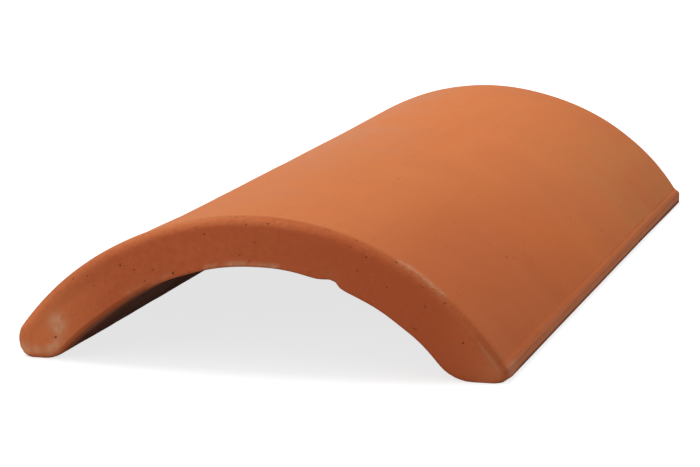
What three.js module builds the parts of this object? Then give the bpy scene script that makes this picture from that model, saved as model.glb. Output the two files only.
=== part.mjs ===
// Barrel roof tile: one thick clay trough, moulded and fired in one piece.
// Millimetres, +Z up. The tile stands on its two long feet, arch upwards, and lies along Y.
// The nose, its rounded lower end on a roof, points to -Y. The tail, cut square, points to +Y.
// The origin is on the ground, midway between the feet and midway along the tile.

import * as THREE from 'three';

// Overall sizes
const tileLength = 457;
const tileWidth = 203;       // over the lips at the feet
const archRise = 60;         // from the ground to the outside of the crown
const wallThickness = 20;
const crownDip = 2.2;        // how far the arch has slumped, drying, midway along

// Lip left along each outer foot by the edge of the mould
const lipHeight = 6.5;
const lipProjection = 2.2;
const lipFillet = 2;         // hollow corner between the arch and the lip
const lipArris = 1;          // rounded upper corner of the lip

// Feet
const heelRadius = 1.5;      // lower outer corner, along the lip
const toeRadius = 12;        // lower inner corner, where the foot meets the hollow

// Nose: the clay is smoothed round, and the lips fade out into its corners
const noseRadius = 5;
const noseFootRadius = 1.8;
const noseHeelRadius = 5;
const noseLipHeight = 10;
const noseLipProjection = 0.4;
const lipFadeStart = 4;
const lipFadeLength = 11;

// Tail: cut square and lightly eased
const tailRadius = 3;
const tailFootRadius = 1.5;

// Small radius round the hollow at both ends
const mouthRadius = 1.5;

// Facets of each half section, from the crown down round the foot and up to the soffit
const outerArcSteps = 26;
const innerArcSteps = 20;
const filletSteps = 3;
const arrisSteps = 3;
const heelSteps = 5;
const toeSteps = 5;

// Sections along the tile
const endSteps = 6;          // round each end's rounded edge
const fadeSteps = 3;         // past the nose's rounded edge, where the lips fade in
const bodySteps = 9;         // between the two ends

const up = Math.PI / 2;
const down = -Math.PI / 2;

const halfLength = tileLength / 2;
const halfWidth = tileWidth / 2;

// The outside is one circular arc from the crown to the root of the lip on each side.
const rootX = halfWidth - lipProjection;
const rootRise = archRise - lipHeight;
const outerRadius = (rootX * rootX + rootRise * rootRise) / (2 * rootRise);
const innerRadius = outerRadius - wallThickness;
const arcCentreZ = archRise - outerRadius;

// Distance from the arc's centre line, at a height, to a circle of a given radius round the centre
function reachAt(height, radius) {
  return Math.sqrt(radius ** 2 - (height - arcCentreZ) ** 2);
}

// How far a rounded edge has drawn back, at a distance in from the end of the tile
function drawBack(distance, radius) {
  if (distance >= radius) {
    return 0;
  }
  return radius - Math.sqrt(radius ** 2 - (radius - distance) ** 2);
}

function arc(centreX, centreZ, radius, fromAngle, toAngle) {
  return new THREE.EllipseCurve(
    centreX, centreZ, radius, radius, fromAngle, toAngle, toAngle < fromAngle);
}

// Half section from the crown to the soffit, as points in X and Z.
// inset: outer surface drawn in. lift: foot raised. open: hollow enlarged.
function halfSection({ inset, lift, open, height, projection, fillet, arris, heel }) {
  const outer = outerRadius - inset;
  const inner = innerRadius + open;
  const sideX = reachAt(height, outer) + projection;

  const filletZ = height + fillet;
  const filletX = reachAt(filletZ, outer + fillet);
  const filletStart = Math.atan2(filletZ - arcCentreZ, filletX);

  const toeZ = lift + toeRadius;
  const toeX = reachAt(toeZ, inner + toeRadius);
  const toeEnd = Math.atan2(toeZ - arcCentreZ, toeX);

  const strokes = [
    [arc(0, arcCentreZ, outer, up, filletStart), outerArcSteps],
    [arc(filletX, filletZ, fillet, filletStart - Math.PI, down), filletSteps],
    [arc(sideX - arris, height - arris, arris, up, 0), arrisSteps],
    [arc(sideX - heel, lift + heel, heel, 0, down), heelSteps],
    [arc(toeX, toeZ, toeRadius, down, toeEnd - Math.PI), toeSteps],
    [arc(0, arcCentreZ, inner, toeEnd, up), innerArcSteps],
  ];

  const points = [];
  strokes.forEach(([curve, steps], index) => {
    const joinsLast = index === 1 || index === strokes.length - 1;
    const sampled = curve.getPoints(steps);
    points.push(...(joinsLast ? sampled.slice(1) : sampled));
  });
  return points;
}

// Whole section: the right half, then its mirror image back to the crown
function section(shape) {
  const right = halfSection(shape);
  const left = right.slice(1, -1).reverse().map((point) => new THREE.Vector2(-point.x, point.y));
  return [...right, ...left];
}

// Section of the nose at a distance in from its end
function noseSection(distance) {
  const plain = THREE.MathUtils.smoothstep(distance, lipFadeStart, lipFadeStart + lipFadeLength);
  const blend = (atNose, along) => THREE.MathUtils.lerp(atNose, along, plain);
  const inset = drawBack(distance, noseRadius);
  const projection = blend(noseLipProjection, lipProjection);
  const softness = projection / lipProjection;
  return section({
    inset,
    lift: drawBack(distance, noseFootRadius),
    open: drawBack(distance, mouthRadius),
    height: blend(noseLipHeight, lipHeight),
    projection,
    fillet: lipFillet * softness,
    arris: lipArris * softness,
    heel: Math.max(blend(noseHeelRadius, heelRadius) - inset, heelRadius / 2),
  });
}

// Section of the tail at a distance in from its end
function tailSection(distance) {
  return section({
    inset: drawBack(distance, tailRadius),
    lift: drawBack(distance, tailFootRadius),
    open: drawBack(distance, mouthRadius),
    height: lipHeight,
    projection: lipProjection,
    fillet: lipFillet,
    arris: lipArris,
    heel: heelRadius,
  });
}

// Distances in from an end that give its rounded edge even facets
function roundStations(radius) {
  const stations = [];
  for (let step = 0; step <= endSteps; step += 1) {
    stations.push(radius * (1 - Math.cos((step / endSteps) * up)));
  }
  return stations;
}

// Height of the slumped arch, as a share of its full height at the two rounded ends
function slumpAt(y) {
  const along = THREE.MathUtils.inverseLerp(noseRadius - halfLength, halfLength - tailRadius, y);
  const share = THREE.MathUtils.clamp(along, 0, 1);
  return 1 - (crownDip / archRise) * Math.sin(Math.PI * share);
}

// Closed solid through a row of sections with equal numbers of points
function loft(stations) {
  const count = stations[0].outline.length;
  const positions = stations.flatMap(({ y, outline }) =>
    outline.flatMap((point) => [point.x, y, point.y * slumpAt(y)]));
  const indices = [];
  for (let row = 0; row < stations.length - 1; row += 1) {
    for (let column = 0; column < count; column += 1) {
      const next = (column + 1) % count;
      const a = row * count + column;
      const b = row * count + next;
      const c = (row + 1) * count + next;
      const d = (row + 1) * count + column;
      indices.push(a, c, d, a, b, c);
    }
  }
  const lastRow = (stations.length - 1) * count;
  for (const [a, b, c] of THREE.ShapeUtils.triangulateShape(stations[0].outline, [])) {
    indices.push(a, b, c);
  }
  for (const [a, b, c] of THREE.ShapeUtils.triangulateShape(stations.at(-1).outline, [])) {
    indices.push(lastRow + a, lastRow + c, lastRow + b);
  }
  const geometry = new THREE.BufferGeometry();
  geometry.setAttribute('position', new THREE.Float32BufferAttribute(positions, 3));
  geometry.setIndex(indices);
  geometry.computeVertexNormals();
  return geometry;
}

function barrelTile() {
  const noseDistances = roundStations(noseRadius);
  const fadeEnd = lipFadeStart + lipFadeLength;
  for (let step = 1; step <= fadeSteps; step += 1) {
    noseDistances.push(THREE.MathUtils.lerp(noseRadius, fadeEnd, step / fadeSteps));
  }
  const nose = noseDistances.map((distance) => (
    { y: distance - halfLength, outline: noseSection(distance) }));
  const tail = roundStations(tailRadius).reverse().map((distance) => (
    { y: halfLength - distance, outline: tailSection(distance) }));
  const body = [];
  for (let step = 1; step < bodySteps; step += 1) {
    const y = THREE.MathUtils.lerp(nose.at(-1).y, tail[0].y, step / bodySteps);
    body.push({ y, outline: tailSection(tailRadius) });
  }
  const firedClay = new THREE.MeshStandardMaterial({
    color: 0xb4673f, roughness: 0.85, metalness: 0 });
  const mesh = new THREE.Mesh(loft([...nose, ...body, ...tail]), firedClay);
  mesh.name = 'barrel_tile';
  return mesh;
}

const group = new THREE.Group();
group.add(barrelTile());

export default group;
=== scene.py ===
import bmesh
import bpy
import math
import random
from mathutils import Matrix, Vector, noise


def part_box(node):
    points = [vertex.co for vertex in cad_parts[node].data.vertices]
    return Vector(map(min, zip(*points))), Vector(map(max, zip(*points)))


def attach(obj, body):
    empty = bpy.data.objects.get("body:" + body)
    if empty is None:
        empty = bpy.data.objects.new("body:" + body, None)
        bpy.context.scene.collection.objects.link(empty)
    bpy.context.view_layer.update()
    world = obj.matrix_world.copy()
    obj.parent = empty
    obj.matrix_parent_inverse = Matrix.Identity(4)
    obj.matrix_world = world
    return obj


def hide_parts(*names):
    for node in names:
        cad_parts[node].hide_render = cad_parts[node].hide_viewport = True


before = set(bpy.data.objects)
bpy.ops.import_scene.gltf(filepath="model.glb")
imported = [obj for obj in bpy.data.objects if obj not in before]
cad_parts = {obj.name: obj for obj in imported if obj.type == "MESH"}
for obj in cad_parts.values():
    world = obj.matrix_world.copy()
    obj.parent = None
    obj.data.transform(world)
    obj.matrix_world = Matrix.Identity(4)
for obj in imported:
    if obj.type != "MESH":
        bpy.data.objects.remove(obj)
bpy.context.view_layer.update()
scene = bpy.context.scene
print("stage: frame loaded")

# The tile's own sizes, in metres. Length, width and rise come from the frame.
tile = {
    "wall": 0.020, "heel": 0.0015, "toe": 0.012,
    "lipHeight": 0.0068, "lipProjection": 0.0022, "lipFillet": 0.0020, "lipArris": 0.0026, "lipSlope": 47,
    "fadedFillet": 0.004,                           # the lip's fillet where the lip has faded away
    "fullSlope": 0.0018,                            # a lip that stands out this far has its whole slope
    "noseRound": 0.005, "mouth": 0.0015,
    "noseTighter": (38, 56),                        # degrees off the crown over which its round tightens
    "tailRound": 0.003, "tailFoot": 0.0008, "tailLip": 0.0008, "tailTighter": (53, 58),
    "tailHeel": 0.0004, "tailArris": 0.0016, "tailSlope": 37,
    "tailFade": 0.045, "tailHeelFade": (0.02, 0.15),        # how far from the tail its own forms reach
    "dip": 0.0021, "dipShift": 0.66,                # slump of the arch, and where along it is deepest
}

# The two lower corners of the nose, where each lip fades into the rounded end. In metres, with
# -1 the left side and 1 the right one. fadeLength is how far the lip takes to come to its full size.
noseCorner = {
    -1: {
        "fadeStart": 0.007, "fadeLength": 0.019,
        "lipHeight": 0.0112, "lipProjection": 0.0, "lipArris": 0.0080,
        "heel": 0.0064, "heelLeast": 0.0016, "foot": 0.0016, "footRound": 0.0050,
        "toe": 0.012, "toeLength": 0.060,
    },
    1: {
        "fadeStart": 0.000, "fadeLength": 0.014,
        "lipHeight": 0.0058, "lipProjection": 0.0012, "lipArris": 0.0024,
        "heel": 0.0030, "heelLeast": 0.0026, "foot": 0.0007, "footRound": 0.0036,
        "toe": 0.0175, "toeLength": 0.070,
    },
}

# How many parts each stretch of the section and of the length is cut into. bodyCut and faceCut are
# further cuts of each edge, along the body and across the end faces.
cuts = {
    "outerArc": 40, "fillet": 3, "lipTop": 1, "arris": 4, "lipSide": 1, "heel": 4,
    "innerArc": 35, "toe": 6, "flat": 12,
    "endRing": 9, "fadeRing": 9, "bodyRing": 34, "bodyCut": 3, "faceCut": 9,
}
fadeEnd = 0.026         # from here on, the sections stand evenly along the tile
longEdge = 0.008        # edges along the tile that are longer than this are cut again
sameSection = 1e-6      # an edge that runs less than this along the tile lies across it
clayMarks = ("pit", "wear", "lipBand", "lipCrease", "hollow", "chalk")

low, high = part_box("barrel_tile")
halfLength = (high.y - low.y) / 2
halfWidth = (high.x - low.x) / 2
rise = high.z
rootX = halfWidth - tile["lipProjection"]
rootRise = rise - tile["lipHeight"]
outerRadius = (rootX ** 2 + rootRise ** 2) / (2 * rootRise)
innerRadius = outerRadius - tile["wall"]
arcZ = rise - outerRadius


def mix(a, b, share):
    return a + (b - a) * share


def clamp(value, lowest=0.0, highest=1.0):
    return max(lowest, min(highest, value))


def ease(value, start, end):
    share = clamp((value - start) / (end - start))
    return share * share * (3 - 2 * share)


def drawBack(distance, radius):
    # how far a rounded edge has drawn back, at a distance in from the end
    if distance >= radius:
        return 0.0
    return radius - math.sqrt(radius ** 2 - (radius - distance) ** 2)


def reachAt(height, radius):
    return math.sqrt(radius ** 2 - (height - arcZ) ** 2)


def polarOf(co):
    # degrees off the crown and distance from the centre of the arch
    return math.degrees(math.atan2(co.x, co.z - arcZ)), math.hypot(co.x, co.z - arcZ)


def outwardsAt(co):
    return Vector((co.x, 0, co.z - arcZ)).normalized()


def placeOf(angle, share, fromNose):
    # a place on the tile from degrees off the crown, share across the wall and distance from the nose
    turn = math.radians(angle)
    radius = innerRadius + share * tile["wall"]
    return Vector((radius * math.sin(turn), fromNose - halfLength, arcZ + radius * math.cos(turn)))


def bell(value, middle, spread):
    return math.exp(-((value - middle) / spread) ** 2)


def formAt(y, side):
    # the measures of the section on one side of the crown, at a place along the tile
    fromNose = max(y + halfLength, 0.0)
    fromTail = max(halfLength - y, 0.0)
    corner = noseCorner[side]
    along = ease(fromNose, corner["fadeStart"], corner["fadeStart"] + corner["fadeLength"])
    projection = mix(corner["lipProjection"], tile["lipProjection"], along)
    softness = projection / tile["lipProjection"]
    bodyHeel = mix(tile["tailHeel"], tile["heel"], ease(fromTail, *tile["tailHeelFade"]))
    heel = mix(corner["heel"], bodyHeel, along)
    beforeTail = ease(fromTail, 0.0, tile["tailFade"])
    lipArris = mix(tile["tailArris"], tile["lipArris"], beforeTail)
    noseBack = drawBack(fromNose, tile["noseRound"])
    tailBack = drawBack(fromTail, tile["tailRound"])
    return {
        "outer": outerRadius - (noseBack + tailBack),
        "inner": innerRadius + drawBack(fromNose, tile["mouth"]) + drawBack(fromTail, tile["mouth"]),
        "lift": drawBack(fromNose, corner["foot"]) + drawBack(fromTail, tile["tailFoot"]),
        "height": mix(corner["lipHeight"], tile["lipHeight"], along),
        "projection": projection,
        "fillet": mix(tile["fadedFillet"], tile["lipFillet"], softness),
        "arris": mix(corner["lipArris"], lipArris, along),
        "slope": mix(tile["tailSlope"], tile["lipSlope"], beforeTail),
        "heel": max(heel - noseBack, min(heel, corner["heelLeast"])),
        "toe": mix(corner["toe"], tile["toe"], ease(fromNose, 0.0, corner["toeLength"])),
        "noseFuller": noseBack - drawBack(fromNose, corner["footRound"]),
        "tailFuller": tailBack - drawBack(fromTail, tile["tailLip"]),
    }


def turnPath(bm, path, side, tilt, radius, turn, steps):
    # spins the path's last vertex on along a curve. tilt is how far the surface leans from level.
    # A positive turn bends it further over, and a negative one bends it back.
    start = path[-1].co
    reach = radius if turn > 0 else -radius
    centre = (start.x - side * reach * math.sin(tilt), start.y, start.z - reach * math.cos(tilt))
    bmesh.ops.spin(bm, geom=[path[-1]], cent=centre, axis=(0, 1, 0),
                   angle=side * turn, steps=steps, use_merge=False)
    bm.verts.ensure_lookup_table()
    path.extend(bm.verts[-steps:])


def linePath(bm, path, endX, endZ, steps):
    start = path[-1].co.copy()
    end = Vector((endX, start.y, endZ))
    for step in range(steps):
        made = bmesh.ops.extrude_vert_indiv(bm, verts=[path[-1]])
        path.append(made["verts"][0])
        path[-1].co = start.lerp(end, (step + 1) / steps)


def drawHalf(bm, side, crown, soffit):
    form = formAt(crown.co.y, side)
    quarter = math.pi / 2
    filletShare = 0.4       # how much of the fillet lies above the lip's height
    leastBend = 0.04        # radians by which the fillet bends back at the very least
    leastRun = 0.0002       # width of the lip's sloped top at the very least
    sideX = reachAt(form["height"], form["outer"]) + form["projection"]
    shoulder = math.acos((form["height"] + form["fillet"] * filletShare - arcZ) / form["outer"])
    slope = mix(shoulder, math.radians(form["slope"]), ease(form["projection"], 0.0, tile["fullSlope"]))
    slope = min(slope, shoulder - leastBend)

    outer = [crown]
    turnPath(bm, outer, side, 0, form["outer"], shoulder, cuts["outerArc"])
    turnPath(bm, outer, side, shoulder, form["fillet"], slope - shoulder, cuts["fillet"])
    ledgeX = sideX - form["arris"] * (1 - math.sin(slope))
    run = max(ledgeX - abs(outer[-1].co.x), leastRun)
    ledgeZ = outer[-1].co.z - run * math.tan(slope)
    linePath(bm, outer, outer[-1].co.x + side * run, ledgeZ, cuts["lipTop"])
    turnPath(bm, outer, side, slope, form["arris"], quarter - slope, cuts["arris"])
    sideX = abs(outer[-1].co.x)
    linePath(bm, outer, side * sideX, form["lift"] + form["heel"], cuts["lipSide"])
    turnPath(bm, outer, side, quarter, form["heel"], quarter, cuts["heel"])

    # the hollow's wall turns out at the toe, so its curve is drawn about its own centre
    toeZ = form["lift"] + form["toe"]
    toeX = reachAt(toeZ, form["inner"] + form["toe"])
    toeTilt = quarter - math.atan2(toeZ - arcZ, toeX)
    inner = [soffit]
    turnPath(bm, inner, side, 0, form["inner"], toeTilt, cuts["innerArc"])
    turnPath(bm, inner, side, toeTilt, form["toe"], -toeTilt, cuts["toe"])
    lastX = mix(toeX, sideX - form["heel"], cuts["flat"] / (cuts["flat"] + 1))
    linePath(bm, inner, side * lastX, form["lift"], cuts["flat"])
    bm.edges.new((outer[-1], inner[-1]))
    for vert in outer:
        angle = abs(polarOf(vert.co)[0])
        fuller = form["noseFuller"] * ease(angle, *tile["noseTighter"])
        fuller += form["tailFuller"] * ease(angle, *tile["tailTighter"])
        vert.co.x += side * fuller
    return outer, inner


def slumpAt(y):
    # what the height is multiplied by, since the arch sank between its ends
    bodyLength = 2 * halfLength - tile["noseRound"] - tile["tailRound"]
    share = clamp((y + halfLength - tile["noseRound"]) / bodyLength)
    return 1 - tile["dip"] / rise * math.sin(math.pi * share ** tile["dipShift"])


def drawRing(y):
    # one whole section across the tile, as a closed loop of edges
    loop = bmesh.new()
    for name in clayMarks:
        loop.verts.layers.float.new(name)
    crown = loop.verts.new((0, y, formAt(y, 1)["outer"] + arcZ))
    soffit = loop.verts.new((0, y, formAt(y, 1)["inner"] + arcZ))
    rightOuter, rightInner = drawHalf(loop, 1, crown, soffit)
    leftOuter, leftInner = drawHalf(loop, -1, crown, soffit)
    ring = {
        "outer": leftOuter[:0:-1] + rightOuter,
        "inner": leftInner[:0:-1] + rightInner,
    }
    for vert in loop.verts:
        vert.co.z *= slumpAt(y)
    markRing(loop, ring)
    loop.verts.index_update()
    order = {part: [vert.index for vert in path] for part, path in ring.items()}
    ringMesh = bpy.data.meshes.new("ring")
    loop.to_mesh(ringMesh)
    loop.free()
    return ringMesh, order


def pathEdges(bm, path):
    return [bm.edges.get(pair) for pair in zip(path, path[1:])]


def ringEdges(bm, ring):
    closing = [bm.edges.get((ring["outer"][end], ring["inner"][end])) for end in (0, -1)]
    return pathEdges(bm, ring["outer"]) + pathEdges(bm, ring["inner"]) + closing


def ringPlaces():
    # closer together round both rounded ends and where the lips fade in
    turns = [1 - math.cos(step / cuts["endRing"] * math.pi / 2) for step in range(cuts["endRing"] + 1)]
    nose = [tile["noseRound"] * turn for turn in turns]
    fade = [mix(nose[-1], fadeEnd, (step + 1) / cuts["fadeRing"]) for step in range(cuts["fadeRing"])]
    tail = [2 * halfLength - tile["tailRound"] * turn for turn in reversed(turns)]
    body = [mix(fadeEnd, tail[0], (step + 1) / cuts["bodyRing"]) for step in range(cuts["bodyRing"] - 1)]
    return [distance - halfLength for distance in nose + fade + body + tail]


def markRing(loop, ring):
    # remembers which part of the section a vertex belongs to, for the clay's colours
    layers = loop.verts.layers.float
    lipShows = (0.003, 0.015)       # distance from the nose over which the lip's own clay comes in
    arrisStart = cuts["outerArc"] + cuts["fillet"] + cuts["lipTop"]
    middle = len(ring["outer"]) // 2
    for index, vert in enumerate(ring["outer"]):
        step = abs(index - middle)
        shown = ease(vert.co.y + halfLength, *lipShows)
        vert[layers["lipCrease"]] = shown * (cuts["outerArc"] <= step < arrisStart)
        vert[layers["lipBand"]] = shown * (step >= arrisStart)
    for vert in ring["inner"]:
        vert[layers["hollow"]] = 1.0


def runAlong(edge):
    return abs(edge.verts[0].co.y - edge.verts[1].co.y)


def buildTile():
    bm = bmesh.new()
    for name in clayMarks:
        bm.verts.layers.float.new(name)
    places = ringPlaces()
    for y in places:
        ringMesh, order = drawRing(y)
        bm.from_mesh(ringMesh)
        bpy.data.meshes.remove(ringMesh)
    bm.verts.ensure_lookup_table()
    size = len(bm.verts) // len(places)
    rings = []
    for first in range(0, len(bm.verts), size):
        ring = {part: [bm.verts[first + index] for index in indices] for part, indices in order.items()}
        rings.append(ring)
    print("stage: sections drawn,", len(rings))

    for near, far in zip(rings, rings[1:]):
        bmesh.ops.bridge_loops(bm, edges=ringEdges(bm, near) + ringEdges(bm, far))
    acrossWall = []
    for ring in (rings[0], rings[-1]):
        bothPaths = pathEdges(bm, ring["outer"]) + pathEdges(bm, ring["inner"])
        acrossWall.extend(bmesh.ops.bridge_loops(bm, edges=bothPaths)["edges"])
    acrossWall = [edge for edge in acrossWall if runAlong(edge) < sameSection]
    bmesh.ops.subdivide_edges(bm, edges=acrossWall, cuts=cuts["faceCut"], use_grid_fill=True)
    alongBody = [edge for edge in bm.edges if runAlong(edge) > longEdge]
    bmesh.ops.subdivide_edges(bm, edges=alongBody, cuts=cuts["bodyCut"], use_grid_fill=True)
    bmesh.ops.recalc_face_normals(bm, faces=bm.faces[:])
    print("stage: sections joined")
    return bm


# Unevenness of a hand-finished tile: height in metres, scale of the noise, and where in it each starts
unevenness = {
    "swell": (0.00035, 13.0, (3.1, 7.7, 1.9)),          # broad waves left by the mould and by drying
    "ripple": (0.00013, 52.0, (11.3, 2.2, 5.4)),        # finer waves left by the sponge
    "underside": (0.00035, 70.0, (1.3, 9.2, 4.4)),      # rough wall of the hollow
    "atGround": 0.25, "calmHeight": 0.012,              # share of it that is left at the feet
}

# Warps: degrees from the crown and half their spread, place along the tile from the nose and
# half its spread, and how far the surface stands out
warps = {
    "outside": [
        (-22, 16, 0.235, 0.045, 0.0004),
        (13, 14, 0.457, 0.130, -0.0006),
        (48, 8, 0.457, 0.110, 0.0005),
        (-42, 13, 0.000, 0.050, 0.0003),
    ],
    "hollow": [
        (-35, 14, 0.000, 0.150, 0.0018),
        (3, 13, 0.000, 0.110, -0.0007),
    ],
}


def warpAt(kind, angle, fromNose):
    return sum(amount * bell(angle, middle, spread) * bell(fromNose, place, length)
               for middle, spread, place, length, amount in warps[kind])


def waveAt(kind, co):
    height, scale, start = unevenness[kind]
    return height * noise.noise(co * scale + Vector(start))


def unevenTile(bm):
    bm.normal_update()
    hollow = bm.verts.layers.float["hollow"]
    moves = []
    for vert in bm.verts:
        co = vert.co
        amount = waveAt("swell", co) + waveAt("ripple", co) + waveAt("underside", co) * vert[hollow]
        calm = mix(unevenness["atGround"], 1.0, ease(co.z, 0.0, unevenness["calmHeight"]))
        angle, radius = polarOf(co)
        fromNose = co.y + halfLength
        depth = clamp((outerRadius - radius) / tile["wall"])
        outwards = outwardsAt(co)
        move = vert.normal * amount * calm
        move += outwards * warpAt("outside", angle, fromNose) * (1 - depth)
        move -= outwards * warpAt("hollow", angle, fromNose) * depth
        moves.append(move)
    for vert, move in zip(bm.verts, moves):
        vert.co += move


# Knock in the lower front edge: degrees from the crown, and metres
nick = {
    "angle": 19.0, "depth": 0.0021,
    "width": 0.0042, "rightShare": 0.6,         # narrower on its right side
    "intoWall": 0.006, "alongHollow": 0.006,
    "wallLimit": 0.012, "leastPush": 0.01, "rubbed": 0.12,
}


def nickTile(bm):
    wear = bm.verts.layers.float["wear"]
    for vert in bm.verts:
        angle, radius = polarOf(vert.co)
        sideways = math.radians(angle - nick["angle"]) * innerRadius
        width = nick["width"] * (nick["rightShare"] if sideways > 0 else 1.0)
        across = max(radius - innerRadius, 0.0)
        behind = vert.co.y + halfLength
        push = math.exp(-(sideways / width) ** 2
                        - (across / nick["intoWall"]) ** 2 - (behind / nick["alongHollow"]) ** 2)
        if push > nick["leastPush"] and radius < innerRadius + nick["wallLimit"]:
            vert.co += outwardsAt(vert.co) * nick["depth"] * push
            vert[wear] = max(vert[wear], nick["rubbed"] * push)


# Knocks along the edges: degrees from the crown, share across the wall, distance from the nose,
# half the length of the knock and its depth
knocks = {
    "places": [
        (-31, 0.03, 0.457, 0.0046, 0.0016),
        (44, 0.02, 0.457, 0.0034, 0.0013),
        (-52, 1.0, 0.4560, 0.0040, 0.0012),
        (-60.8, 1.04, 0.148, 0.0052, 0.0013),
        (-60.8, 1.04, 0.326, 0.0036, 0.0010),
        (-6, 0.0, 0.457, 0.0028, 0.0008),
    ],
    "aimBeforeTail": 0.008,         # they go in toward the wall's middle, at least this far from the tail
    "reach": 2, "ragged": 0.5, "raggedScale": 600, "rubbed": 0.35,
}


def knockTile(bm):
    wear = bm.verts.layers.float["wear"]
    for angle, share, fromNose, size, depth in knocks["places"]:
        spot = placeOf(angle, share, fromNose)
        aim = placeOf(angle, 0.5, min(fromNose, 2 * halfLength - knocks["aimBeforeTail"]))
        inwards = (aim - spot).normalized()
        for vert in bm.verts:
            distance = (vert.co - spot).length
            if distance < size * knocks["reach"]:
                broken = 1 + knocks["ragged"] * noise.noise(vert.co * knocks["raggedScale"])
                push = bell(distance * broken, 0, size)
                vert.co += inwards * depth * push
                vert[wear] = max(vert[wear], knocks["rubbed"] * push)


# Pinholes: degrees from the crown, share across the wall, distance from the nose, size of the hole
pinholes = {
    "radius": 0.00056, "depth": 0.0009, "seed": 11,
    "widest": 0.38,         # largest radius as a share of the face's width
    "margin": 1.25,         # the middle of a hole stays this many of its radii from the face's sides
    "mostShift": 0.0008,    # farthest that a hole moves from the middle of its face
    "rimShade": 0.35,        # painted shade at the rim of a hole, where that at its bottom is one
    "leastNoseFace": 1.5e-6, "leastFace": 3.2e-6,       # smallest faces that take a hole, in square metres
    "facing": {"nose": 0.2, "top": 0.5, "tail": 0.9, "under": 0.5},     # least part of their normal that way
    "topLean": 0.5,         # faces of the top that lean further toward an end than this take none
    "scattered": {"top": 16, "tail": 15, "under": 34},
    "scatteredSize": (0.4, 0.8),
    "nose": [
        (-49.9, 0.30, 0.0, 0.9), (-38.4, 0.87, 0.0007, 0.9), (-35.5, 0.75, 0.0, 0.5),
        (-28.3, 0.63, 0.0, 0.5), (-25.9, 0.41, 0.0, 0.5), (-25.1, 0.15, 0.0, 0.5),
        (-18.1, 0.08, 0.0, 0.9), (-9.0, 0.69, 0.0, 0.65), (-10.7, 0.86, 0.0005, 0.4),
        (-2.2, 0.26, 0.0, 0.45), (-0.7, 0.87, 0.0005, 0.6), (1.3, 0.51, 0.0, 0.45),
        (3.6, 0.91, 0.0011, 0.9), (4.4, 0.96, 0.0020, 0.45), (15.0, 1.0, 0.0041, 0.6),
        (20.1, 0.87, 0.0006, 0.4), (20.6, 0.99, 0.0038, 0.8), (23.4, 0.49, 0.0, 0.5),
        (23.6, 0.84, 0.0004, 0.75), (30.1, 0.50, 0.0, 0.45), (29.3, 0.97, 0.0027, 0.9),
        (39.2, 0.14, 0.0, 0.4), (35.7, 0.89, 0.0009, 0.45), (40.6, 0.94, 0.0015, 0.6),
        (48.6, 0.66, 0.0, 0.75),
    ],
    "top": [
        (25.6, 1.0, 0.1615, 0.6), (-10.6, 1.0, 0.3285, 0.5), (38.0, 1.0, 0.1065, 0.6),
        (0.1, 1.0, 0.1265, 0.5), (5.4, 1.0, 0.1175, 0.5), (41.7, 1.0, 0.1105, 0.5),
        (43.0, 1.0, 0.1155, 0.5), (43.9, 1.0, 0.2265, 0.5),
    ],
}


def pierceFace(bm, face, size, spot=None):
    # a round hole: the face is inset, given eight corners, drawn to a circle and sunk
    pit = bm.verts.layers.float["pit"]
    width = min(edge.calc_length() for edge in face.edges)
    radius = min(pinholes["radius"] * size, width * pinholes["widest"])
    centre, normal = face.calc_center_median(), face.normal.copy()
    if spot is not None:
        shift = spot - centre
        for edge in face.edges[:2]:     # two sides that meet
            along = (edge.verts[1].co - edge.verts[0].co).normalized()
            room = clamp(edge.calc_length() / 2 - radius * pinholes["margin"], 0.0, pinholes["mostShift"])
            centre += along * clamp(shift.dot(along), -room, room)
    bmesh.ops.inset_individual(bm, faces=[face], thickness=width / 2 - radius, use_even_offset=True)
    bmesh.ops.bisect_edges(bm, edges=face.edges[:], cuts=1)
    corners = [loop.vert for loop in face.loops]
    first = corners[0].co - centre
    first = (first - normal * first.dot(normal)).normalized()
    second = normal.cross(first)
    for index, vert in enumerate(corners):
        turn = 2 * math.pi * index / len(corners)
        vert.co = centre + (first * math.cos(turn) + second * math.sin(turn)) * radius
        vert[pit] = pinholes["rimShade"]
    bottom = bmesh.ops.poke(bm, faces=[face], offset=-pinholes["depth"] * size)
    for vert in bottom["verts"]:
        vert[pit] = 1.0


def pierceNearest(bm, faces, spot, size):
    face = min(faces, key=lambda candidate: (candidate.calc_center_median() - spot).length)
    faces.remove(face)
    pierceFace(bm, face, size, spot)


def pierceTile(bm):
    facing = pinholes["facing"]
    quads = [face for face in bm.faces if len(face.verts) == 4]
    noseSized = [face for face in quads if face.calc_area() > pinholes["leastNoseFace"]]
    large = [face for face in quads if face.calc_area() > pinholes["leastFace"]]
    level = [face for face in large if abs(face.normal.y) < pinholes["topLean"]]
    faces = {
        "nose": [face for face in noseSized if face.normal.y < -facing["nose"]],
        "top": [face for face in level if face.normal.z > facing["top"]],
        "tail": [face for face in large if face.normal.y > facing["tail"]],
        "under": [face for face in large if face.normal.z < -facing["under"]],
    }
    for name in ("nose", "top"):
        for angle, share, fromNose, size in pinholes[name]:
            pierceNearest(bm, faces[name], placeOf(angle, share, fromNose), size)
    scatter = random.Random(pinholes["seed"])
    for name, count in pinholes["scattered"].items():
        for face in scatter.sample(faces[name], count):
            pierceFace(bm, face, scatter.uniform(*pinholes["scatteredSize"]))


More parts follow.
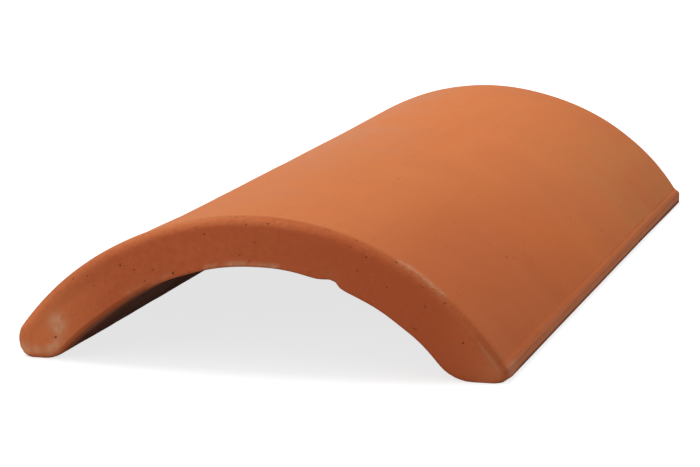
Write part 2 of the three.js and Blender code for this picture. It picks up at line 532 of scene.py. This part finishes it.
# Chalky marks: a path of places as degrees from the crown, share across the wall and distance
# from the nose, then the width of the mark and its strength
rubs = {
    "wear": [
        ([(30.0, 1.0, 0.0050), (31.3, 1.0, 0.0060), (33.5, 1.0, 0.0057), (36.0, 1.0, 0.0048)], 0.0023, 1.0),
        ([(35.2, 1.0, 0.0050), (38.8, 1.0, 0.0042)], 0.0021, 1.0),
        ([(-20, 0.02, 0.457), (4, 0.0, 0.457), (18, 0.03, 0.457)], 0.0020, 0.6),
        ([(-44, 1.0, 0.455), (-30, 1.0, 0.455)], 0.0022, 0.7),
    ],
    "chalk": [
        ([(-46.8, 0.50, 0.0), (-47.4, 0.40, 0.0)], 0.0030, 1.0),
        ([(-47.8, 0.30, 0.0), (-49.3, 0.19, 0.0)], 0.0018, 0.35),
        ([(-52.7, 0.230, 0.0), (-51.4, 0.215, 0.0)], 0.0021, 1.0),
        ([(-53.0, 0.22, 0.0), (-55.9, 0.56, 0.0)], 0.0013, 0.5),
        ([(-55.9, 0.56, 0.0002), (-56.4, 0.78, 0.0010)], 0.0015, 0.95),
        ([(-54.7, 0.42, 0.0), (-54.6, 0.46, 0.0)], 0.0015, 0.7),
        ([(-30.5, 0.05, 0.0), (-26.5, 0.05, 0.0), (-18.0, 0.09, 0.0)], 0.0008, 0.20),
        ([(-10.2, 0.06, 0.0), (-8.0, 0.06, 0.0)], 0.0010, 0.50),
        ([(-5.0, 0.085, 0.0), (-0.5, 0.085, 0.0)], 0.0010, 0.80),
        ([(0.5, 0.08, 0.0), (3.8, 0.08, 0.0)], 0.0009, 0.50),
        ([(4.4, 0.085, 0.0), (6.0, 0.085, 0.0)], 0.0010, 0.75),
        ([(50.0, 0.30, 0.457), (53.0, 0.38, 0.457)], 0.0040, 0.6),
    ],
}


def distanceToPath(point, path):
    distances = []
    for start, end in zip(path, path[1:]):
        run = end - start
        share = clamp((point - start).dot(run) / run.length_squared)
        distances.append((point - start - run * share).length)
    return min(distances)


def rubTile(bm):
    reach = 0.06        # a mark goes no further than this from its start
    for name, marks in rubs.items():
        layer = bm.verts.layers.float[name]
        for places, width, strength in marks:
            path = [placeOf(*place) for place in places]
            for vert in bm.verts:
                if (vert.co - path[0]).length < reach:
                    amount = strength * bell(distanceToPath(vert.co, path), 0, width)
                    vert[layer] = max(vert[layer], amount)


def boxTile(bm):
    # keeps every point inside the CAD solid's box
    for vert in bm.verts:
        vert.co.x = clamp(vert.co.x, -halfWidth, halfWidth)
        vert.co.y = clamp(vert.co.y, -halfLength, halfLength)
        vert.co.z = clamp(vert.co.z, 0.0, rise)


tileBm = buildTile()
unevenTile(tileBm)
nickTile(tileBm)
knockTile(tileBm)
rubTile(tileBm)
print("stage: surface worn")
tileBm.normal_update()
pierceTile(tileBm)
boxTile(tileBm)
bmesh.ops.recalc_face_normals(tileBm, faces=tileBm.faces[:])
for face in tileBm.faces:
    face.smooth = True
tileMesh = bpy.data.meshes.new("clayTile")
tileBm.to_mesh(tileMesh)
tileBm.free()
clayTile = bpy.data.objects.new("clayTile", tileMesh)
scene.collection.objects.link(clayTile)
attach(clayTile, "root")
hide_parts("barrel_tile")
print("stage: tile built,", sum(len(polygon.vertices) - 2 for polygon in tileMesh.polygons), "triangles")

# Colours of the fired clay, as linear red, green and blue
clay = {
    "body": (0.657, 0.169, 0.0455), "dark": (0.555, 0.140, 0.0435),             # washed skin
    "peach": (0.660, 0.214, 0.0725), "tan": (0.588, 0.204, 0.0670),
    # paintedSheen is painted sheen on the left side
    "warm": (0.750, 0.210, 0.0600), "paintedSheen": (0.606, 0.222, 0.0960),
    # rim is painted shade along the rounded rim of the nose
    "rim": (0.538, 0.132, 0.0410), "tailRim": (0.650, 0.158, 0.0450),
    "rawFace": (0.705, 0.164, 0.0580), "rawDark": (0.598, 0.120, 0.0395),       # end faces
    # rawFoot is painted light, lighter toward the left foot
    "rawLight": (0.670, 0.174, 0.0660), "rawFoot": (0.850, 0.236, 0.0820),
    "rawRight": (0.655, 0.160, 0.0560), "sole": (0.700, 0.200, 0.0740),
    # bevel is a painted highlight on the rounded edge of the nose
    "bevel": (0.720, 0.200, 0.0700),
    "hollow": (0.180, 0.038, 0.0120), "deep": (0.045, 0.0095, 0.0035),          # inside: painted shade
    "lip": (0.545, 0.188, 0.0840), "lipDark": (0.425, 0.138, 0.0560),           # lips
    "ledge": (0.550, 0.190, 0.0820), "crest": (0.465, 0.129, 0.0465),
    "crease": (0.560, 0.136, 0.0375), "ash": (0.560, 0.225, 0.1070),
    "paintedShade": (0.150, 0.032, 0.0100), "pit": (0.110, 0.024, 0.0100),             # painted shade, and shade in the pinholes; below, marks
    "grit": (0.330, 0.078, 0.0240), "fleck": (0.680, 0.270, 0.1200),
    "chalk": (0.860, 0.480, 0.2750), "rubbed": (0.600, 0.275, 0.1400),
    "foldEdge": (0.560, 0.270, 0.1400),
}

# Noises in the clay: scale, detail and roughness
noises = {
    "cloud": (9.0, 3.0, 0.55), "mottle": (34.0, 4.0, 0.6), "patchy": (60.0, 2.0, 0.5),
    "blotch": (110.0, 3.0, 0.55), "sponge": (260.0, 4.0, 0.6), "fine": (360.0, 3.0, 0.6),
    "broken": (420.0, 3.0, 0.65), "crumbs": (540.0, 2.0, 0.7), "sand": (620.0, 3.0, 0.7),
    "grain": (900.0, 3.0, 0.7),
}
# The same, drawn out along the tile: scale across it and along it, detail and roughness
streaks = {"wipes": (150.0, 11.0, 4.0, 0.6), "strokes": (900.0, 20.0, 3.0, 0.6)}

# Areas of the tile, as soft steps that are multiplied together. A step says what it goes by, where it
# starts and where it ends, then how strong it is at each where that isn't nought and one.
areas = {
    "bodySkin": [("cloud", 0.36, 0.66)],
    "paleRaw": [("fine", 0.34, 0.66, 0.36, 0.74)],
    "endShift": [("x", -0.07, -0.03, 0.0, 0.0005)],         # in metres
    "endFace": [("beyondEnd", 0.2248, 0.2280)],
    "hollow": [("hollow", 0.55, 1.0), ("fromMiddle", 0.2287, 0.2140)],
    "deep": [("fromMiddle", 0.2200, 0.1850)],
    "paleLip": [("strokes", 0.38, 0.64)],
    "lip": [("lipBand", 0.1, 0.9, 0.0, 0.9)],
    "heel": [("z", 0.0026, 0.0016), ("lipBand", 0.1, 0.7)],
    "pastNose": [("y", -0.225, -0.190, 0.4, 1.0)],
    "rubbed": [("broken", 0.34, 0.54, 0.15, 1.0)],
    "chalky": [("blotch", 0.30, 0.62, 0.50, 0.90), ("fine", 0.30, 0.60, 0.45, 1.0)],
    "noseEdge": [("y", -0.2222, -0.2245), ("y", -0.2287, -0.2279)],
    "fold": [
        ("x", 0.0885, 0.0925), ("x", 0.0996, 0.0984), ("y", -0.2266, -0.2274),
        ("fromFold", 0.0011, 0.0001),
    ],
    "dryness": [("mottle", 0.30, 0.70, 0.78, 0.90)],
}

# Patches of colour, each laid over the ones before: the colour, then the steps of its area
patches = {
    "skin": [
        ("peach", ("z", 0.022, 0.060), ("mottle", 0.25, 0.75, 0.45, 0.85)),                     # crown
        ("dark", ("wipes", 0.50, 0.74, 0.0, 0.17)),                                             # streaks
        ("tan", ("y", -0.06, 0.13), ("x", 0.030, 0.080), ("mottle", 0.34, 0.60, 0.30, 0.80)),   # rear right
        ("warm", ("y", -0.045, 0.005), ("y", 0.100, 0.055), ("x", -0.010, 0.030, 0.0, 0.24)),   # middle
        ("paintedSheen", ("driftedX", 0.024, -0.040), ("y", -0.12, 0.06, 0.35, 0.9)),                  # left side: painted sheen along its ridge
        ("dark", ("y", 0.02, -0.16), ("x", 0.020, 0.070, 0.0, 0.8)),                            # front right
        # painted shade along the rounded rim of the nose
        ("rim", ("y", -0.2205, -0.2245), ("x", -0.03, 0.02, 0.0, 0.9)),
        ("tailRim", ("y", 0.2225, 0.2250)),
    ],
    "endFace": [
        ("rawLight", ("mottle", 0.45, 0.70, 0.0, 0.14)),
        ("rawDark", ("x", -0.02, 0.06, 0.0, 0.8)),
        ("rawFoot", ("x", -0.050, -0.088, 0.0, 0.9)),                       # left foot: painted light, lighter toward the foot
        ("rawRight", ("x", 0.070, 0.092, 0.0, 0.9)),
        ("sole", ("x", 0.086, 0.096), ("z", 0.014, 0.005, 0.0, 0.7)),       # right foot
    ],
    # the rounded edge of the nose with a painted highlight, painted shade under its left rim and into the
    # hollow
    "nose": [
        ("bevel", ("y", -0.2253, -0.2262), ("y", -0.2285, -0.2277),
         ("x", 0.035, 0.005, 0.0, 0.55), ("x", -0.075, -0.045)),
        ("paintedShade", ("hollow", 0.30, 0.08), ("x", -0.046, -0.072, 0.0, 0.15),
         ("y", -0.2180, -0.2225), ("z", 0.012, 0.028, 0.4, 1.0)),
        ("hollow", ("hollow", 0.925, 0.995), ("x", -0.034, -0.046),
         ("y", -0.15, -0.20, 0.0, 0.5), ("x", -0.084, -0.074, 0.3, 1.0)),
    ],
    "lip": [
        ("ledge", ("z", 0.0048, 0.0030)),
        ("crest", ("z", 0.0037, 0.0049, 0.0, 0.8)),
    ],
    "crease": [("crease", ("lipCrease", 0.7, 1.0), ("patchy", 0.4, 0.62, 0.4, 0.9))],
    "lipEnd": [("ash", ("x", 0.0996, 0.1008), ("y", -0.2250, -0.2232, 0.0, 0.6), ("y", -0.2020, -0.2140))],
    "grain": [("dark", ("grain", 0.35, 0.62, 0.08, 0.0))],
    "crumbs": [
        ("grit", *areas["noseEdge"], ("crumbs", 0.52, 0.64, 0.0, 0.18)),
        ("rubbed", *areas["noseEdge"], ("crumbs", 0.46, 0.36, 0.0, 0.07)),
    ],
    # shade beyond the fold, and low down round the nose
    "corner": [
        ("paintedShade", ("beyondFold", 0.0005, 0.0014), ("x", 0.0840, 0.0920),
         ("y", -0.2235, -0.2262), ("blotch", 0.30, 0.62, 0.05, 0.19)),
        ("paintedShade", ("y", -0.2175, -0.2240), ("z", 0.020, 0.009, 0.0, 0.17), ("y", -0.2262, -0.2248)),
    ],
    "pinholes": [("pit", ("pit", 0.15, 0.9))],
}
strengths = {"hollow": 0.92, "heel": 0.85, "pore": 0.5, "fleck": 0.3, "rubbed": 0.98, "fold": 0.36}

# Pores and pale flecks: round spots in a few of the cells of one pattern, soft over their rims
pores = {"scale": 330.0, "rim": (0.10, 0.20), "darkFrom": 0.955, "paleTo": 0.035}

# Swing of the edge of the left side's painted sheen, by two noises, and of the line of the fold, in metres
drifts = {"cloud": 0.15, "mottle": 0.05, "fold": 0.0016}
foldShare = 0.888       # where the fold runs, as a share across the wall

# Relief of the clay: strength, and height in metres
relief = {
    "wipes": (0.5, 0.00025), "sponge": (0.6, 0.00022), "fold": (0.8, 0.0003),
    "strokes": (0.7, 0.0003), "sand": (0.6, 0.00016), "pore": (0.8, 0.0003),
}
sandiness = {"elsewhere": 0.5, "hollow": 1.6, "noseEdge": 1.1}       # the last two are added to the first


class Weave:
    # short calls for nodes and the links between them
    def __init__(self, tree):
        self.tree = tree
        self.measures = {}      # what the steps of an area can go by

    def add(self, kind, inputs=None, **settings):
        node = self.tree.nodes.new(kind)
        for name, value in settings.items():
            setattr(node, name, value)
        for name, value in (inputs or {}).items():
            if isinstance(value, bpy.types.NodeSocket):
                self.tree.links.new(value, node.inputs[name])
            else:
                node.inputs[name].default_value = value
        return node

    def math(self, operation, a, b=0.0, limit=False):
        return self.add("ShaderNodeMath", {0: a, 1: b}, operation=operation, use_clamp=limit).outputs[0]

    def times(self, *factors):
        product = factors[0]
        for factor in factors[1:]:
            product = self.math("MULTIPLY", product, factor)
        return product

    def plus(self, a, b):
        return self.math("ADD", a, b)

    def minus(self, a, b):
        return self.math("SUBTRACT", a, b)

    def mark(self, name):
        return self.add("ShaderNodeAttribute", attribute_name=name, attribute_type="GEOMETRY").outputs["Fac"]

    def noise(self, place, scale, detail, roughness):
        inputs = {"Vector": place, "Scale": scale, "Detail": detail, "Roughness": roughness}
        return self.add("ShaderNodeTexNoise", inputs).outputs["Fac"]

    def streak(self, place, across, along, detail, roughness):
        stretched = self.add("ShaderNodeMapping", {"Vector": place, "Scale": (across, along, across)})
        return self.noise(stretched.outputs[0], 1.0, detail, roughness)

    def drift(self, name, amount):
        # how far a noise moves an edge, one way or the other
        return self.times(self.minus(self.measures[name], 0.5), amount)

    def step(self, value, start, end, atStart=0.0, atEnd=1.0):
        inputs = {"Value": value, "From Min": start, "From Max": end, "To Min": atStart, "To Max": atEnd}
        return self.add("ShaderNodeMapRange", inputs, interpolation_type="SMOOTHSTEP").outputs[0]

    def area(self, steps):
        return self.times(*[self.step(self.measures[name], *limits) for name, *limits in steps])

    def paint(self, share, under, over):
        node = self.add("ShaderNodeMix", data_type="RGBA")
        for socket, value in ((node.inputs[0], share), (node.inputs[6], under), (node.inputs[7], over)):
            if isinstance(value, bpy.types.NodeSocket):
                self.tree.links.new(value, socket)
            elif isinstance(value, tuple):
                socket.default_value = (*value, 1.0)
            else:
                socket.default_value = value
        return node.outputs[2]

    def lay(self, under, group):
        for colour, *steps in patches[group]:
            under = self.paint(self.area(steps), under, clay[colour])
        return under

    def choose(self, share, first, second):
        inputs = {0: share, 1: first.outputs[0], 2: second.outputs[0]}
        return self.add("ShaderNodeMixShader", inputs).outputs[0]

    def bump(self, height, strength, distance, below=None, **settings):
        inputs = {"Height": height, "Strength": strength, "Distance": distance}
        if below is not None:
            inputs["Normal"] = below
        return self.add("ShaderNodeBump", inputs, **settings).outputs[0]


def measureClay(weave):
    # everything that the areas and the relief go by
    place = weave.add("ShaderNodeTexCoord").outputs["Object"]
    x, y, z = weave.add("ShaderNodeSeparateXYZ", {0: place}).outputs
    measures = weave.measures
    measures.update({"x": x, "y": y, "z": z, "fromMiddle": weave.math("ABSOLUTE", y)})
    for name in clayMarks:
        measures[name] = weave.mark(name)
    for name, settings in noises.items():
        measures[name] = weave.noise(place, *settings)
    for name, settings in streaks.items():
        measures[name] = weave.streak(place, *settings)

    drift = weave.plus(weave.drift("cloud", drifts["cloud"]), weave.drift("mottle", drifts["mottle"]))
    measures["driftedX"] = weave.plus(x, drift)
    measures["beyondEnd"] = weave.minus(measures["fromMiddle"], weave.area(areas["endShift"]))

    # the fold runs at an even distance from the centre of the arch
    aboveCentre = weave.minus(z, arcZ)
    radius = weave.math("SQRT", weave.plus(weave.times(x, x), weave.times(aboveCentre, aboveCentre)))
    beyond = weave.minus(radius, innerRadius + foldShare * tile["wall"])
    measures["beyondFold"] = weave.plus(beyond, weave.drift("mottle", drifts["fold"]))
    measures["fromFold"] = weave.math("ABSOLUTE", measures["beyondFold"])

    cells = weave.add("ShaderNodeTexVoronoi", {"Vector": place, "Scale": pores["scale"]})
    pick = weave.add("ShaderNodeSeparateColor", {0: cells.outputs["Color"]}).outputs[0]
    spot = weave.step(cells.outputs["Distance"], *pores["rim"], 1.0, 0.0)
    measures["pore"] = weave.times(spot, weave.math("GREATER_THAN", pick, pores["darkFrom"]))
    measures["fleck"] = weave.times(spot, weave.math("LESS_THAN", pick, pores["paleTo"]))
    return measures


def clayMaterial():
    material = bpy.data.materials.new("firedClay")
    material.use_nodes = True
    weave = Weave(material.node_tree)
    shader = material.node_tree.nodes["Principled BSDF"]
    measures = measureClay(weave)
    inside = weave.area(areas["hollow"])
    atEnd = weave.area(areas["endFace"])
    alongSide = weave.minus(1.0, atEnd)
    fold = weave.area(areas["fold"])
    chalk = weave.times(measures["chalk"], weave.area(areas["chalky"]))

    # washed skin outside, and end faces as they came from the knife, redder and more mottled
    skin = weave.paint(weave.area(areas["bodySkin"]), clay["dark"], clay["body"])
    skin = weave.lay(skin, "skin")
    raw = weave.paint(weave.area(areas["paleRaw"]), clay["rawDark"], clay["rawFace"])
    raw = weave.lay(raw, "endFace")
    colour = weave.paint(atEnd, skin, raw)
    # painted highlight on the nose's rounded edge, and painted shade under its left rim and into the hollow
    colour = weave.lay(colour, "nose")

    # hollow, rough from the mould, with painted shade that is darkest far from the ends
    hollowShade = weave.paint(weave.area(areas["deep"]), clay["hollow"], clay["deep"])
    colour = weave.paint(weave.times(inside, strengths["hollow"]), colour, hollowShade)

    # lip along each foot, with painted shade as a dark line along its heel
    lip = weave.paint(weave.area(areas["paleLip"]), clay["lipDark"], clay["lip"])
    lip = weave.lay(lip, "lip")
    colour = weave.lay(colour, "crease")
    colour = weave.paint(weave.times(weave.area(areas["lip"]), alongSide), colour, lip)
    heel = weave.times(weave.area(areas["heel"]), strengths["heel"], alongSide)
    heel = weave.times(heel, weave.area(areas["pastNose"]))
    # painted shade along the heel of each lip, where it meets the ground
    colour = weave.paint(heel, colour, clay["paintedShade"])
    colour = weave.lay(colour, "lipEnd")

    # pores, flecks and grain, then rubbed edges and chalk, which is salt that came out of the clay
    colour = weave.paint(weave.times(measures["pore"], strengths["pore"]), colour, clay["grit"])
    colour = weave.paint(weave.times(measures["fleck"], strengths["fleck"]), colour, clay["fleck"])
    colour = weave.lay(colour, "grain")
    rubbed = weave.times(weave.area(areas["rubbed"]), strengths["rubbed"])
    colour = weave.paint(weave.times(measures["wear"], rubbed), colour, clay["rubbed"])
    colour = weave.paint(chalk, colour, clay["chalk"])

    # crumbs along the rounded edge of the nose, painted shade round its foot, and a fold pressed into its
    # right corner
    colour = weave.lay(colour, "crumbs")
    colour = weave.lay(colour, "corner")
    colour = weave.paint(weave.times(fold, strengths["fold"]), colour, clay["foldEdge"])
    # painted shade in the pinholes, darkest at their bottoms
    colour = weave.lay(colour, "pinholes")
    weave.tree.links.new(colour, shader.inputs["Base Color"])

    # dry and dull, most of all in the hollow and where it is chalky
    dryness = weave.math("MAXIMUM", weave.area(areas["dryness"]), inside)
    weave.tree.links.new(weave.math("MAXIMUM", dryness, chalk, True), shader.inputs["Roughness"])
    shader.inputs["Specular IOR Level"].default_value = 0.08

    coarse = weave.plus(weave.times(inside, sandiness["hollow"]),
                        weave.times(weave.area(areas["noseEdge"]), sandiness["noseEdge"]))
    sand = weave.times(measures["sand"], weave.plus(coarse, sandiness["elsewhere"]))
    lipStrength = weave.times(measures["lipBand"], relief["strokes"][0])
    surface = weave.bump(measures["wipes"], *relief["wipes"])
    surface = weave.bump(measures["sponge"], *relief["sponge"], surface)
    surface = weave.bump(fold, *relief["fold"], surface)
    surface = weave.bump(measures["strokes"], lipStrength, relief["strokes"][1], surface)
    surface = weave.bump(sand, *relief["sand"], surface)
    surface = weave.bump(measures["pore"], *relief["pore"], surface, invert=True)
    weave.tree.links.new(surface, shader.inputs["Normal"])
    return material


tileMesh.materials.append(clayMaterial())
print("stage: clay painted")

# Camera, placed in metres and degrees. focal and frameWidth are in pixels, the sensor is in millimetres.
camera = {
    "place": (0.3136, -1.27275, 0.23928), "pitch": 9.658, "turn": 14.679,
    "focal": 2868.1, "frameWidth": 700, "sensor": 36, "nearest": 0.05, "farthest": 60,
}
cameraData = bpy.data.cameras.new("camera")
cameraData.sensor_width = camera["sensor"]
cameraData.lens = camera["focal"] * camera["sensor"] / camera["frameWidth"]
cameraData.clip_start = camera["nearest"]
cameraData.clip_end = camera["farthest"]
cameraObject = bpy.data.objects.new("camera", cameraData)
cameraObject.location = camera["place"]
cameraObject.rotation_euler = (math.radians(90 - camera["pitch"]), 0, math.radians(camera["turn"]))
scene.collection.objects.link(cameraObject)
scene.camera = cameraObject

# Studio: white wherever the camera looks, softly lit from the upper left
studio = {
    "floorSize": 20, "floorSeen": 0.45, "floorBounce": 0.42, "ambient": 0.39,
    "floorGlow": 0.76, "glowFrom": 0.4, "glowFull": 1.1,    # glow by the tile, and where it grows to one
    "lamps": [
        {"name": "keyLight", "power": 31.5, "size": 1.3, "distance": 2.2, "towards": (-0.335, 0.17, 0.93)},
        {"name": "noseFill", "power": 1.6, "size": 0.5, "distance": 1.25, "towards": (-0.45, -0.88, 0.15)},
        {"name": "sideFill", "power": 3.8, "size": 0.9, "distance": 2.2, "towards": (0.90, 0.22, 0.38)},
    ],
}


def seenDirectly(weave):
    # one for what the camera sees, straight or by reflection, and nought for what only lights the tile
    path = weave.add("ShaderNodeLightPath").outputs
    seen = weave.math("MAXIMUM", path["Is Camera Ray"], path["Is Glossy Ray"])
    return weave.math("MAXIMUM", seen, path["Is Transmission Ray"])


def floorMaterial():
    material = bpy.data.materials.new("studioFloor")
    material.use_nodes = True
    weave = Weave(material.node_tree)
    weave.tree.nodes.remove(weave.tree.nodes["Principled BSDF"])
    bounce = weave.add("ShaderNodeBsdfDiffuse", {"Color": (studio["floorBounce"],) * 3 + (1,)})
    paper = weave.add("ShaderNodeBsdfDiffuse", {"Color": (studio["floorSeen"],) * 3 + (1,)})
    # pure white away from the tile, a little darker round it so that its shadow shows
    place = weave.add("ShaderNodeTexCoord").outputs["Object"]
    away = weave.add("ShaderNodeVectorMath", {0: place}, operation="LENGTH").outputs["Value"]
    strength = weave.step(away, studio["glowFrom"], studio["glowFull"], studio["floorGlow"], 1.0)
    glow = weave.add("ShaderNodeEmission", {"Strength": strength})
    seen = weave.add("ShaderNodeAddShader", {0: paper.outputs[0], 1: glow.outputs[0]})
    both = weave.choose(seenDirectly(weave), bounce, seen)
    weave.tree.links.new(both, weave.tree.nodes["Material Output"].inputs[0])
    return material


floorMesh = bpy.data.meshes.new("studioFloor")
floorBm = bmesh.new()
bmesh.ops.create_grid(floorBm, x_segments=1, y_segments=1, size=studio["floorSize"])
floorBm.to_mesh(floorMesh)
floorBm.free()
floorMesh.materials.append(floorMaterial())
studioFloor = bpy.data.objects.new("studioFloor", floorMesh)
scene.collection.objects.link(studioFloor)

world = bpy.data.worlds.new("studioLight")
world.use_nodes = True
scene.world = world
weave = Weave(world.node_tree)
ambient = weave.tree.nodes["Background"]
ambient.inputs["Color"].default_value = (1, 1, 1, 1)
ambient.inputs["Strength"].default_value = studio["ambient"]
backdrop = weave.add("ShaderNodeBackground", {"Color": (1, 1, 1, 1), "Strength": 1.0})
sky = weave.choose(seenDirectly(weave), ambient, backdrop)
weave.tree.links.new(sky, weave.tree.nodes["World Output"].inputs[0])

for lamp in studio["lamps"]:
    light = bpy.data.lights.new(lamp["name"], "AREA")
    light.shape = "DISK"
    light.size = lamp["size"]
    light.energy = lamp["power"]
    lightObject = bpy.data.objects.new(lamp["name"], light)
    towards = Vector(lamp["towards"]).normalized()
    lightObject.location = towards * lamp["distance"]
    lightObject.rotation_euler = towards.to_track_quat("Z", "Y").to_euler()
    scene.collection.objects.link(lightObject)
scene.view_settings.view_transform = "Standard"
print("stage: studio lit")
